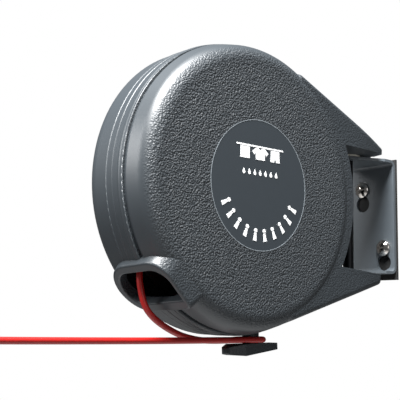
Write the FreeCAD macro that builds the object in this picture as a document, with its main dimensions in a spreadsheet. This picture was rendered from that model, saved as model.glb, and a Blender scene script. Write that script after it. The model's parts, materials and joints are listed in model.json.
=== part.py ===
import FreeCAD, Part
import Sketcher
import math
import os
import re

# Retractable clothesline: a sprung spool of line in a round two-part case. The case
# swivels on a pin in a steel wall bracket. Millimetres, +Z up, +X into the wall.
# The origin is the middle of the two wall screws, on the back of the bracket's plate,
# and the case's front faces -Y.

SIZE_LIST = [
    # case
    ("drum_radius", 95.0),
    ("case_depth", 58.0),
    ("front_depth", 17.4),
    ("shell_wall", 3.0),
    ("front_radius", 90.0),
    ("front_round", 11.0),
    ("rear_round", 12.5),
    ("seam_gap", 3.0),
    ("seam_deep", 2.0),
    ("seam_lip", 0.8),
    ("seam_round", 0.7),
    ("ridge_height", 0.35),
    ("ridge_wide", 2.7),
    ("ridge_narrow", 1.6),
    ("ridge_one", 4.6),
    ("ridge_two", 11.3),
    ("ridge_three", 17.4),
    ("drum_rise", 6.0),
    # tail of the case, which carries the pin
    ("pin_gap", 26.0),
    ("tail_end", 15.5),
    ("tail_lean", 5.0),
    ("tail_setback", 1.0),
    ("tail_flat", 3.0),
    ("tail_bow", 155.0),
    ("tail_bow_run", 40.0),
    ("front_draft", 14.7),
    ("tail_front_round", 4.0),
    ("tail_rear_round", 2.9),
    ("tip_round", 3.0),
    ("upper_slope", 0.4245),
    ("lower_slope", 0.298),
    ("notch_gap", 1.5),
    ("notch_root", 1.4),
    ("notch_slope", 0.075),
    ("pocket_start", 19.0),
    ("pocket_skin", 8.5),
    # mouth of the case
    ("mouth_angle", 224.0),
    ("mouth_stand", 2.5),
    ("mouth_lean", 0.07),
    ("mouth_half", 18.3),
    ("mouth_drop", 0.3),
    ("mouth_centre", 4.5),
    ("mouth_taper", 10.0),
    ("mouth_flare", 2.6),
    ("collar_root", 12.0),
    ("collar_upper_corner", 13.0),
    ("collar_lower_corner", 4.0),
    ("throat_half", 12.0),
    ("throat_centre", 5.5),
    ("throat_front", 2.8),
    ("throat_corner", 11.0),
    ("throat_root", 20.0),
    ("lip_round", 1.6),
    ("lip_inner_round", 1.1),
    # wall bracket
    ("bracket_reach", 32.0),
    ("bracket_height", 86.0),
    ("bracket_width", 39.0),
    ("bracket_steel", 2.0),
    ("bend_round", 5.0),
    ("arm_nose", 10.0),
    ("arm_shoulder", 12.0),
    ("pad_thick", 1.5),
    ("pad_over", 0.8),
    ("pad_below", 4.2),
    ("pad_hole_radius", 4.0),
    # keyholes and wall screws
    ("screw_side", 9.75),
    ("screw_rise", 23.1),
    ("keyhole_drop", 11.0),
    ("keyhole_radius", 6.2),
    ("wall_head_radius", 6.1),
    ("wall_head_rim", 1.7),
    ("wall_head_dome", 3.2),
    ("wall_shoulder_radius", 2.9),
    ("wall_shank_radius", 2.5),
    ("wall_slot_gap", 0.75),
    ("wall_stand_out", 9.0),
    ("cross_width", 1.3),
    ("cross_length", 6.4),
    ("cross_deep", 1.8),
    # pivot
    ("pin_radius", 4.0),
    ("running_gap", 0.05),
    ("loose_gap", 0.3),
    ("bush_wall", 2.5),
    ("bush_flange", 9.5),
    ("bush_length", 6.0),
    ("pin_head_radius", 6.2),
    ("pin_head_height", 2.4),
    ("recess_gap", 1.4),
    ("clip_radius", 6.4),
    ("clip_height", 1.0),
    ("clip_groove", 0.8),
    ("clip_lap", 0.4),
    ("pin_tail", 1.8),
    # label
    ("label_radius", 42.2),
    ("label_thick", 0.8),
    ("label_gap", 0.1),
    # case screws
    ("boss_radius", 5.2),
    ("boss_inset", 11.0),
    ("case_screw_radius", 1.6),
    ("case_head_radius", 3.1),
    ("case_head_height", 2.2),
    ("case_screw_length", 38.0),
    ("counterbore_gap", 0.4),
    ("counterbore_deep", 9.0),
    ("case_cross_length", 3.7),
    ("case_cross_width", 0.8),
    ("case_cross_deep", 1.0),
    # axle and spool
    ("axle_radius", 4.0),
    ("axle_boss_radius", 9.0),
    ("axle_boss_height", 3.6),
    ("axle_inset", 2.6),
    ("washer_radius", 9.0),
    ("washer_thick", 0.8),
    ("side_gap", 0.3),
    ("spool_gap", 1.8),
    ("cheek_thick", 2.5),
    ("core_radius", 46.0),
    ("core_wall", 6.0),
    ("web_thick", 2.5),
    ("hub_radius", 11.0),
    ("hub_length", 6.0),
    ("spool_bush_wall", 2.5),
    ("winding_radius", 64.0),
    ("turn_round", 2.5),
    ("cheek_screw_radius", 1.4),
    ("cheek_head_radius", 2.6),
    ("cheek_head_height", 1.1),
    ("cheek_screw_length", 10.0),
    # mainspring
    ("arbor_radius", 12.0),
    ("spring_thick", 0.8),
    ("spring_width", 26.0),
    ("spring_turns", 8.0),
    ("spring_rim_gap", 0.1),
    # cleat
    ("cleat_side", 20.5),
    ("cleat_tilt", 4.0),
    ("cleat_stand", 8.4),
    ("ridge_shift", 13.0),
    ("bar_length", 45.0),
    ("bar_depth", 19.0),
    ("bar_height", 7.4),
    ("bar_end_depth", 7.0),
    ("bar_end_height", 4.4),
    ("bar_round", 1.2),
    ("neck_radius", 5.5),
    ("neck_length", 15.4),
    ("cleat_boss_radius", 8.5),
    ("cleat_boss_height", 4.0),
    ("cleat_boss_sink", 4.0),
    ("cleat_screw_length", 14.0),
    # line
    ("line_radius", 2.0),
    ("line_drawn_for", 95.0),
    ("bead_play", 0.2),
    ("bead_radius", 6.0),
    ("bead_along", 176.0),
    ("hook_along", 184.0),
    ("ferrule_radius", 4.6),
    ("ferrule_length", 14.0),
    ("ferrule_end", 1.9),
    ("hook_radius", 9.0),
    ("hook_wire", 2.6),
    ("hook_shank", 8.0),
]
SIZES = dict(SIZE_LIST)
CASE_SCREW_ANGLES = (18, 75, 125, 178, 258, 325)
CHEEK_SCREW_COUNT = 4
SPIRAL_POINTS = 20
BEND_SHARE = 0.45

# The free line, from inside the mouth, over the lip, behind the cleat's neck, round it
# and away along -X, as points from the drum's centre. The inside run joins its start.
LINE_INSIDE = [(-65.9, 2.0, 12.0), (-67.4, 1.8, -19.0), (-71.0, 1.2, -50.0)]
LINE_ROUTE = [
    (-71.0, 1.2, -50.0), (-72.103, 1.016, -59.5), (-70.9, 0.0, -69.6), (-68.9, -1.5, -78.6),
    (-62.8, -2.0, -84.9), (-54.5, -1.6, -89.6), (-44.0, 0.2, -93.6), (-34.0, 2.2, -96.2),
    (-18.5, 4.8, -98.5), (2.0, 6.9, -98.7), (15.5, 7.9, -97.7), (28.4, 7.9, -97.5),
    (28.4, -7.9, -97.5), (11.0, -7.9, -97.7), (-16.0, -7.6, -98.0), (-60.0, -7.8, -98.3),
    (-112.0, -8.2, -98.3), (-155.0, -8.3, -98.2), (-196.0, -8.4, -98.0),
]

doc = FreeCAD.newDocument("clothesline")
sheet = doc.addObject("Spreadsheet::Sheet", "sizes")
for row, (alias, value) in enumerate(SIZE_LIST, start=1):
    sheet.set("A%d" % row, alias.replace("_", " "))
    sheet.set("B%d" % row, str(value))
    sheet.setAlias("B%d" % row, alias)
doc.recompute()

NODES = []


# ---- rules: sums of sheet names, such as "drum_radius - shell_wall" ----

def number(rule):
    """The value of a rule now."""
    filled = re.sub(r"[a-z]\w+", lambda word: put_value(word.group()), str(rule))
    return FreeCAD.Units.Quantity(filled).Value


def put_value(word):
    return word if word == "sqrt" else "(%r)" % SIZES[word]


def bound(rule):
    """The rule as an expression on the sheet."""
    return re.sub(r"[a-z]\w+", lambda word: put_cell(word.group()), str(rule))


def put_cell(word):
    return word if word == "sqrt" else "sizes." + word


def vector(x, y, z):
    return FreeCAD.Vector(number(x), number(y), number(z))


# ---- objects ----

def bind(item, **rules):
    for key, rule in rules.items():
        item.setExpression(key, bound(rule))


def place(item, x="0", y="0", z="0"):
    turn = item.Placement.Rotation
    item.Placement = FreeCAD.Placement(vector(x, y, z), turn)
    item.setExpression("Placement.Base.x", bound(x))
    item.setExpression("Placement.Base.y", bound(y))
    item.setExpression("Placement.Base.z", bound(z))
    return item


def node(item, label):
    item.Label = label
    NODES.append(item)
    return item


TURNS = {
    "X": FreeCAD.Rotation(FreeCAD.Vector(0, 1, 0), 90),
    "Y": FreeCAD.Rotation(FreeCAD.Vector(1, 0, 0), -90),
    "Z": FreeCAD.Rotation(),
}


def cylinder(name, radius, height, x="0", y="0", z="0", along="Z"):
    item = doc.addObject("Part::Cylinder", name)
    bind(item, Radius=radius, Height=height)
    item.Placement = FreeCAD.Placement(FreeCAD.Vector(), TURNS[along])
    return place(item, x, y, z)


def box(name, length, width, height, x="0", y="0", z="0"):
    item = doc.addObject("Part::Box", name)
    bind(item, Length=length, Width=width, Height=height)
    return place(item, x, y, z)


def fuse(name, *shapes):
    item = doc.addObject("Part::MultiFuse", name)
    item.Shapes = list(shapes)
    item.Refine = True
    return item


def cut(name, base, *tools):
    tool = tools[0] if len(tools) == 1 else fuse(name + "_tools", *tools)
    item = doc.addObject("Part::Cut", name)
    item.Base = base
    item.Tool = tool
    item.Refine = True
    return item


def common(name, first, second):
    item = doc.addObject("Part::Common", name)
    item.Base = first
    item.Tool = second
    item.Refine = True
    return item


def group(name, items):
    item = doc.addObject("Part::Compound", name)
    item.Links = list(items)
    return item


# ---- bodies made from closed outlines ----

def origin_part(body, role):
    return [item for item in body.Origin.OriginFeatures if item.Role == role][0]


def arc_between(start, end, radius, turning):
    """The shorter arc from start to end, and whether the sketch stores it forwards."""
    chord = end - start
    rise = math.sqrt(max(radius ** 2 - (chord.Length / 2) ** 2, 0))
    left = FreeCAD.Vector(-chord.y, chord.x, 0).normalize()
    forwards = turning == "left"
    centre = (start + end) / 2 + left * (rise if forwards else -rise)
    first, last = (start, end) if forwards else (end, start)
    begin = math.atan2(first.y - centre.y, first.x - centre.x)
    finish = math.atan2(last.y - centre.y, last.x - centre.x)
    if finish < begin:
        finish += 2 * math.pi
    circle = Part.Circle(centre, FreeCAD.Vector(0, 0, 1), radius)
    return Part.ArcOfCircle(circle, begin, finish), forwards


def pin_point(plan, geometry, end, x, y):
    """Hold one end of a line at the place two rules give."""
    if x == "0":
        plan.addConstraint(Sketcher.Constraint("PointOnObject", geometry, end, -2))
    else:
        held = Sketcher.Constraint("DistanceX", -1, 1, geometry, end, number(x))
        plan.setExpression("Constraints[%d]" % plan.addConstraint(held), bound(x))
    if y == "0":
        plan.addConstraint(Sketcher.Constraint("PointOnObject", geometry, end, -1))
    else:
        held = Sketcher.Constraint("DistanceY", -1, 1, geometry, end, number(y))
        plan.setExpression("Constraints[%d]" % plan.addConstraint(held), bound(y))


def outline(body, role, corners, lift="0"):
    """A closed sketch. A corner is (x, y), or (x, y, radius, turning) where an arc starts."""
    plan = body.newObject("Sketcher::SketchObject", body.Name + "_outline")
    plan.AttachmentSupport = [(origin_part(body, role), "")]
    plan.MapMode = "FlatFace"
    if lift != "0":
        plan.setExpression("AttachmentOffset.Base.z", bound(lift))
    points = [vector(corner[0], corner[1], 0) for corner in corners]
    ends = []
    for index, corner in enumerate(corners):
        start = points[index]
        end = points[(index + 1) % len(points)]
        if len(corner) == 2:
            plan.addGeometry(Part.LineSegment(start, end))
            ends.append((1, 2))
        else:
            arc, forwards = arc_between(start, end, number(corner[2]), corner[3])
            plan.addGeometry(arc)
            ends.append((1, 2) if forwards else (2, 1))
    for index, corner in enumerate(corners):
        before = index - 1 if index else len(corners) - 1
        joint = Sketcher.Constraint("Coincident", before, ends[before][1], index, ends[index][0])
        plan.addConstraint(joint)
        pin_point(plan, index, ends[index][0], corner[0], corner[1])
        if len(corner) == 4:
            size = Sketcher.Constraint("Radius", index, number(corner[2]))
            plan.setExpression("Constraints[%d]" % plan.addConstraint(size), bound(corner[2]))
    return plan


def new_body(name):
    return doc.addObject("PartDesign::Body", name)


def revolved(name, corners, role="XY_Plane", axis="V_Axis"):
    body = new_body(name)
    plan = outline(body, role, corners)
    turn = body.newObject("PartDesign::Revolution", name + "_turn")
    turn.Profile = plan
    turn.ReferenceAxis = (plan, [axis])
    turn.Angle = 360
    doc.recompute()
    return body


def padded(name, role, corners, depth):
    """A pad, half its depth each side of the plane."""
    body = new_body(name)
    plan = outline(body, role, corners)
    pad = body.newObject("PartDesign::Pad", name + "_pad")
    pad.Profile = plan
    pad.Midplane = True
    bind(pad, Length=depth)
    doc.recompute()
    return body


def rounded(body, radius, chosen):
    """Fillet the edges of the body's last feature that the test picks."""
    base = body.Tip
    names = ["Edge%d" % (index + 1) for index, edge in enumerate(base.Shape.Edges) if chosen(edge)]
    feature = body.newObject("PartDesign::Fillet", body.Name + "_round")
    feature.Base = (base, names)
    bind(feature, Radius=radius)
    doc.recompute()
    return body


def ring_at(radius, level):
    """Picks a full circle about Y by its radius and its place along Y."""
    def chosen(edge):
        curve = edge.Curve
        return (isinstance(curve, Part.Circle) and abs(curve.Radius - number(radius)) < 0.01
                and abs(curve.Center.y - number(level)) < 0.01)
    return chosen


HALF = "case_depth / 2"
SEAM = "(front_depth - case_depth / 2)"
SEAM_FRONT = "(front_depth - case_depth / 2 - seam_gap / 2)"
SEAM_REAR = "(front_depth - case_depth / 2 + seam_gap / 2)"
PIN_REACH = "(drum_radius + pin_gap)"
TAIL_REACH = "(drum_radius + pin_gap + tail_end)"
DRUM_X = "-(%s + bracket_reach)" % PIN_REACH
PIN_X = "-bracket_reach"
NOTCH = "(bracket_height / 2 + notch_gap)"
SCREW_SITES = [("screw_side", "screw_rise"), ("-screw_side", "-screw_rise")]


# ---- wall bracket, its screws and the pivot pin ----

def make_bracket():
    tall = "bracket_height / 2"
    inner = "(bracket_height / 2 - bracket_steel)"
    far = "-(bracket_reach + arm_nose + 1)"
    form = padded("bracket_form", "XZ_Plane", [
        ("0", "-" + tall), ("0", tall), (far, tall), (far, inner),
        ("-bracket_steel", inner), ("-bracket_steel", "-" + inner), (far, "-" + inner),
        (far, "-" + tall)], "bracket_width")
    outer_bend = number("bracket_height / 2")
    inner_bend = number("bracket_height / 2 - bracket_steel")

    def bend(x, z):
        return lambda edge: (abs(edge.CenterOfMass.x - x) < 0.01
                             and abs(abs(edge.CenterOfMass.z) - z) < 0.01
                             and abs(edge.BoundBox.YLength - number("bracket_width")) < 0.01)

    rounded(form, "bend_round", bend(0, outer_bend))
    rounded(form, "bend_round - bracket_steel", bend(-number("bracket_steel"), inner_bend))
    side = "bracket_width / 2"
    shoulder = "-arm_shoulder"
    plan = padded("arm_plan", "XY_Plane", [
        ("1", "-" + side), ("1", side), (shoulder, side), (PIN_X, "arm_nose"),
        (PIN_X, "-arm_nose"), (shoulder, "-" + side)], "bracket_height + 2")
    nose = cylinder("arm_nose_form", "arm_nose", "bracket_height + 2", x=PIN_X,
                    z="-bracket_height / 2 - 1")
    blank = common("bracket_blank", form, fuse("arm_outline", plan, nose))
    holes = [cylinder("bracket_pin_hole", "pin_radius", "bracket_height + 2", x=PIN_X,
                      z="-bracket_height / 2 - 1")]
    for index, (y, z) in enumerate(SCREW_SITES):
        low = z + " - keyhole_drop"
        slot = "(wall_shank_radius + wall_slot_gap)"
        holes.append(cylinder("keyhole_round_%d" % index, "keyhole_radius", "bracket_steel + 2",
                              x="-bracket_steel - 1", y=y, z=low, along="X"))
        holes.append(cylinder("keyhole_top_%d" % index, slot, "bracket_steel + 2",
                              x="-bracket_steel - 1", y=y, z=z, along="X"))
        holes.append(box("keyhole_slot_%d" % index, "bracket_steel + 2", "2 * " + slot,
                         "keyhole_drop", x="-bracket_steel - 1", y="%s - %s" % (y, slot), z=low))
    node(cut("bracket", blank, *holes), "wall_bracket")


def make_wall_pad():
    """A thin pad behind the plate, with room round each screw."""
    side = "(bracket_width / 2 + pad_over)"
    slab = box("pad_slab", "pad_thick", "2 * " + side,
               "bracket_height + pad_over + pad_below", "0", "-" + side,
               "-(bracket_height / 2 + pad_below)")
    holes = []
    for index, (y, z) in enumerate(SCREW_SITES):
        holes.append(cylinder("pad_hole_%d" % index, "pad_hole_radius", "pad_thick + 2",
                              x="-1", y=y, z=z, along="X"))
    node(cut("pad_cut", slab, *holes), "wall_pad")


def make_wall_screws():
    screws = []
    for index, (y, z) in enumerate(SCREW_SITES):
        crown = "-(bracket_steel + wall_head_rim + wall_head_dome)"
        rim = "-(bracket_steel + wall_head_rim)"
        dome = "((wall_head_radius ^ 2 + wall_head_dome ^ 2) / (2 * wall_head_dome))"
        form = revolved("wall_screw_form_%d" % index, [
            (crown, "0"), ("wall_stand_out", "0"), ("wall_stand_out", "wall_shank_radius"),
            ("0", "wall_shank_radius"), ("0", "wall_shoulder_radius"),
            ("-bracket_steel", "wall_shoulder_radius"), ("-bracket_steel", "wall_head_radius"),
            (rim, "wall_head_radius", dome, "left")], axis="H_Axis")
        place(form, "0", y, z)
        deep = "cross_deep + 1"
        across = box("cross_flat_%d" % index, deep, "cross_length", "cross_width",
                     crown + " - 1", y + " - cross_length / 2", z + " - cross_width / 2")
        upright = box("cross_tall_%d" % index, deep, "cross_width", "cross_length",
                      crown + " - 1", y + " - cross_width / 2", z + " - cross_length / 2")
        screws.append(cut("wall_screw_%d" % index, form, across, upright))
    node(group("wall_screw_pair", screws), "wall_screws")


RECESS = "(%s + bush_length)" % NOTCH
CLIP_TOP = "-(%s + loose_gap)" % RECESS
CLIP_LOW = "-(%s + loose_gap + clip_height)" % RECESS


def make_pin():
    head = "(%s + loose_gap)" % RECESS
    neck = "pin_radius - clip_groove"
    tip = "-(%s + loose_gap + clip_height + pin_tail)" % RECESS
    pin = revolved("pin_form", [
        ("0", tip), ("pin_radius", tip), ("pin_radius", CLIP_LOW), (neck, CLIP_LOW),
        (neck, CLIP_TOP), ("pin_radius", CLIP_TOP), ("pin_radius", head),
        ("pin_head_radius", head), ("pin_head_radius", head + " + pin_head_height"),
        ("0", head + " + pin_head_height")], role="XZ_Plane")
    node(place(pin, PIN_X), "pivot_pin")
    plate = cylinder("clip_plate", "clip_radius", "clip_height", PIN_X, "0", CLIP_LOW)
    hole = cylinder("clip_hole", neck, "clip_height + 2", PIN_X, "0", CLIP_LOW + " - 1")
    slot = box("clip_slot", "clip_radius + 1", "2 * (pin_radius - clip_groove - clip_lap)",
               "clip_height + 2", PIN_X, "-(pin_radius - clip_groove - clip_lap)", CLIP_LOW + " - 1")
    node(cut("clip", plate, hole, slot), "pin_clip")


# ---- case ----

def flank(slope, side):
    """Height of a flank line at x, where it runs tangent to the drum."""
    return lambda x: "%s(drum_radius * sqrt(1 + %s ^ 2) - %s * (%s))" % (side, slope, slope, x)


UPPER = flank("upper_slope", "")
LOWER = flank("lower_slope", "-")


def make_drum_form():
    """The drum with a drafted front half, plain until its seam and ridges are made."""
    front = "-(%s)" % HALF
    drum = revolved("drum_form", [
        ("0", front), ("front_radius", front), ("drum_radius - seam_lip", SEAM_FRONT),
        ("drum_radius", SEAM_REAR), ("drum_radius", HALF), ("0", HALF)])
    rounded(drum, "front_round", ring_at("front_radius", front))
    rounded(drum, "rear_round", ring_at("drum_radius", HALF))
    return place(drum, DRUM_X, "0", "drum_rise")


def make_seam():
    """The groove between the two halves, with soft edges."""
    floor = "drum_radius - seam_deep"
    lip = "drum_radius - seam_lip"
    wide = "seam_gap / 2 + seam_round"
    groove = revolved("seam_groove", [
        (floor, SEAM_FRONT), (lip + " - seam_round", SEAM_FRONT, "seam_round", "right"),
        (lip, SEAM + " - (%s)" % wide), ("drum_radius + 1", SEAM + " - (%s)" % wide),
        ("drum_radius + 1", SEAM + " + (%s)" % wide),
        ("drum_radius", SEAM + " + (%s)" % wide, "seam_round", "right"),
        ("drum_radius - seam_round", SEAM_REAR), (floor, SEAM_REAR)])
    return place(groove, DRUM_X, "0", "drum_rise")


def make_ridges():
    """Three fine raised lines round the back half."""
    ridges = []
    for label, along, width in (("one", "ridge_one", "ridge_wide"),
                                ("two", "ridge_two", "ridge_narrow"),
                                ("three", "ridge_three", "ridge_narrow")):
        bend = "((%s ^ 2 / 4 + ridge_height ^ 2) / (2 * ridge_height))" % width
        low = "%s + %s - %s / 2" % (SEAM, along, width)
        high = "%s + %s + %s / 2" % (SEAM, along, width)
        ring = revolved("ridge_" + label, [
            ("drum_radius - seam_round", low), ("drum_radius", low, bend, "left"),
            ("drum_radius", high), ("drum_radius - seam_round", high)])
        ridges.append(place(ring, DRUM_X, "0", "drum_rise"))
    return ridges


def make_hollow():
    room = "(%s - shell_wall)" % HALF
    radius = "drum_radius - shell_wall"
    hollow = revolved("case_hollow", [
        ("0", "-" + room), ("front_radius - shell_wall", "-" + room), (radius, SEAM),
        (radius, room), ("0", room)])
    rounded(hollow, "front_round - shell_wall", ring_at("front_radius - shell_wall", "-" + room))
    rounded(hollow, "rear_round - shell_wall", ring_at(radius, room))
    return place(hollow, DRUM_X, "0", "drum_rise")


def tail_outline(inset):
    """The tail's side view, from the drum's axis out to its leaning end."""
    radius = "(drum_radius - %s)" % inset
    low_end = "(%s - tail_lean - %s)" % (TAIL_REACH, inset)
    top_end = "(%s - %s)" % (TAIL_REACH, inset)
    return [
        ("0", "0"),
        (radius + " * lower_slope / sqrt(1 + lower_slope ^ 2)",
         "-" + radius + " / sqrt(1 + lower_slope ^ 2)"),
        (low_end, "lower_slope * %s - %s * sqrt(1 + lower_slope ^ 2)" % (low_end, radius)),
        (top_end, "%s * sqrt(1 + upper_slope ^ 2) - upper_slope * %s" % (radius, top_end)),
        (radius + " * upper_slope / sqrt(1 + upper_slope ^ 2)",
         radius + " / sqrt(1 + upper_slope ^ 2)"),
    ]


def pocketed(body, role, corners, lift="0"):
    """Cut an outline right through the body, both ways from its plane."""
    plan = outline(body, role, corners, lift)
    pocket = body.newObject("PartDesign::Pocket", plan.Name + "_pocket")
    pocket.Profile = plan
    pocket.Midplane = True
    pocket.Type = 1
    doc.recompute()
    return body


def make_tail_half(name, front):
    """One half of the tail, from the seam out. The front half is drafted like the drum."""
    half = "(%s - tail_setback)" % HALF
    body = new_body(name)
    inset = "(seam_lip / 2)" if front else "0"
    plan = outline(body, "XZ_Plane", tail_outline(inset), "-" + SEAM)
    pad = body.newObject("PartDesign::Pad", name + "_pad")
    pad.Profile = plan
    if front:
        bind(pad, Length="%s + %s" % (half, SEAM))
        pad.TaperAngle = -SIZES["front_draft"]
    else:
        bind(pad, Length="%s - %s" % (half, SEAM))
        pad.Reversed = True
    doc.recompute()
    start = "drum_radius + tail_flat"
    stop = "drum_radius + tail_flat + tail_bow_run"
    fall = "tail_bow + sqrt(tail_bow ^ 2 - tail_bow_run ^ 2)"
    sign = "-" if front else ""
    pocketed(body, "XY_Plane", [
        (start, sign + half, "tail_bow", "left" if front else "right"),
        (stop, "%s(%s - %s)" % (sign, half, fall)),
        (stop, "%s(%s + 1)" % (sign, half)), (start, "%s(%s + 1)" % (sign, half))])
    end_x = number(TAIL_REACH) * 0.9
    inner_x = number("drum_radius") * 0.15
    side_y = number(half) / 2

    def tip(edge):
        size = edge.BoundBox
        return edge.CenterOfMass.x > end_x and size.YLength > max(2 * size.XLength, size.ZLength, 1)

    def rim(edge):
        middle = edge.CenterOfMass
        return abs(middle.y) > side_y and middle.x > inner_x and edge.BoundBox.XLength > 0.5

    rounded(body, "tip_round", tip)
    rounded(body, "tail_front_round" if front else "tail_rear_round", rim)
    return place(body, DRUM_X, "0", "drum_rise")


def make_tail_form():
    tail = fuse("tail_form", make_tail_half("tail_front", True), make_tail_half("tail_rear", False))
    far = "(%s + tail_end + 1)" % TAIL_REACH
    top = "(%s - drum_rise)" % NOTCH
    low = "(-%s - drum_rise)" % NOTCH
    notch = padded("notch_form", "XZ_Plane", [
        ("0", low + " + notch_slope * " + PIN_REACH), (PIN_REACH, low), (far, low),
        (far, top), ("0", top)], "case_depth + 2")
    place(notch, DRUM_X, "0", "drum_rise")
    root = cylinder("notch_root_form", "drum_radius - notch_root", "case_depth + 4",
                    DRUM_X, "-(%s) - 2" % HALF, "drum_rise", "Y")
    inside = padded("tail_seam_floor", "XZ_Plane", tail_outline("seam_deep"), "case_depth")
    place(inside, DRUM_X, "0", "drum_rise")
    slab = box("tail_seam_slab", "2 * " + TAIL_REACH, "seam_gap", "4 * drum_radius",
               DRUM_X, SEAM_FRONT, "drum_rise - 2 * drum_radius")
    spots = [cylinder("bush_spot", "bush_flange + loose_gap", "notch_gap + 2 * " + NOTCH,
                      PIN_X, "0", "-" + NOTCH)]
    return tail, cut("notch_opening", notch, root), cut("tail_seam", slab, inside), spots


def make_tail_hollows():
    """One pocket in each arm of the tail, between the drum and the pivot's solid end."""
    far = "(%s - bush_flange - loose_gap - shell_wall)" % PIN_REACH
    near = "(drum_radius - pocket_start)"
    top_floor = "%s + shell_wall - drum_rise" % NOTCH
    low_floor = "-(%s + shell_wall + drum_rise)" % NOTCH
    deep = "case_depth - 2 * tail_setback - 2 * shell_wall"
    upper = padded("upper_hollow", "XZ_Plane", [
        (near, top_floor), (far, top_floor), (far, UPPER(far) + " - pocket_skin"),
        (near, UPPER(near) + " - pocket_skin")], deep)
    lower = padded("lower_hollow", "XZ_Plane", [
        (near, low_floor), (far, low_floor), (far, LOWER(far) + " + pocket_skin"),
        (near, LOWER(near) + " + pocket_skin")], deep)
    return [place(item, DRUM_X, "0", "drum_rise") for item in (upper, lower)]


def throat_outline():
    """The throat across Y and the mouth's tangent: round at the back, squarer in front."""
    front = "-(%s - throat_front)" % HALF
    return [
        (front, "throat_half"), (front, "-throat_half + throat_corner", "throat_corner", "left"),
        (front + " + throat_corner", "-throat_half"),
        ("throat_centre", "-throat_half", "throat_half", "left"),
        ("throat_centre + throat_half", "0", "throat_half", "left"),
        ("throat_centre", "throat_half")]


def make_mouth():
    """The mouth's collar with its soft lip, and the throat through it, both turned to lie
    along the mouth's axis."""
    turn = FreeCAD.Rotation(FreeCAD.Vector(0, 1, 0), -SIZES["mouth_angle"])
    root = "drum_radius - collar_root"
    collar = new_body("mouth_collar")
    wide = "(mouth_half + mouth_flare)"
    plan = outline(collar, "YZ_Plane", [
        ("-case_depth", "mouth_drop + " + wide), ("-case_depth", "mouth_drop - " + wide),
        ("mouth_centre", "mouth_drop - " + wide, wide, "left"),
        ("mouth_centre + " + wide, "mouth_drop", wide, "left"),
        ("mouth_centre", "mouth_drop + " + wide)], root)
    pad = collar.newObject("PartDesign::Pad", "collar_pad")
    pad.Profile = plan
    bind(pad, Length="2 * collar_root")
    pad.TaperAngle = -SIZES["mouth_taper"]
    doc.recompute()
    rim = "drum_radius + mouth_stand"
    pocketed(collar, "XY_Plane", [
        (rim + " - mouth_lean * 2 * case_depth", "-2 * case_depth"),
        (rim + " + mouth_lean * case_depth", "case_depth"),
        ("2 * drum_radius", "case_depth"), ("2 * drum_radius", "-2 * case_depth")])
    pocketed(collar, "XY_Plane", [
        ("0", "-(%s)" % HALF), ("2 * drum_radius", "-(%s)" % HALF),
        ("2 * drum_radius", "-2 * case_depth"), ("0", "-2 * case_depth")])
    pocketed(collar, "YZ_Plane", throat_outline())
    rim_x = number("drum_radius - 3 * mouth_stand")
    front_y = -number(HALF)

    def lip(inner):
        def chosen(edge):
            middle = edge.CenterOfMass
            flat = abs(edge.BoundBox.XLength - SIZES["mouth_lean"] * edge.BoundBox.YLength) < 0.01
            reach = max(abs(edge.BoundBox.ZMax), abs(edge.BoundBox.ZMin))
            far = edge.BoundBox.YMax < number("throat_centre + throat_half") + 0.5
            inside = reach < SIZES["throat_half"] + 0.5 and far and middle.y > front_y + 0.5
            return middle.x > rim_x and flat and inside == inner
        return chosen

    def corner(side):
        return lambda edge: (edge.BoundBox.XLength > SIZES["mouth_half"] / 2
                             and abs(edge.CenterOfMass.y - front_y) < 0.01
                             and edge.CenterOfMass.z * side > 0)

    rounded(collar, "collar_upper_corner", corner(-1))
    rounded(collar, "collar_lower_corner", corner(1))
    rounded(collar, "lip_round", lip(False))
    rounded(collar, "lip_inner_round", lip(True))
    throat = new_body("mouth_throat")
    throat_plan = outline(throat, "YZ_Plane", throat_outline(), "drum_radius - throat_root")
    bore = throat.newObject("PartDesign::Pad", "throat_pad")
    bore.Profile = throat_plan
    bind(bore, Length="2 * throat_root")
    doc.recompute()
    for body in (collar, throat):
        body.Placement = FreeCAD.Placement(FreeCAD.Vector(), turn)
        place(body, DRUM_X, "0", "drum_rise")
    return collar, throat


def on_ring(angle, radius):
    """Rules for a place on a ring about the drum's axis."""
    turn = math.radians(angle)
    x = "%s + (%.9f) * (%s)" % (DRUM_X, math.cos(turn), radius)
    z = "drum_rise + (%.9f) * (%s)" % (math.sin(turn), radius)
    return x, z


CLEAT_X = DRUM_X + " + cleat_side"
CLEAT_DROP = "(drum_radius + cleat_stand)"
CLEAT_TOP = "drum_rise - %s + neck_length" % CLEAT_DROP
BOSS_RING = "(drum_radius - boss_inset)"


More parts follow.
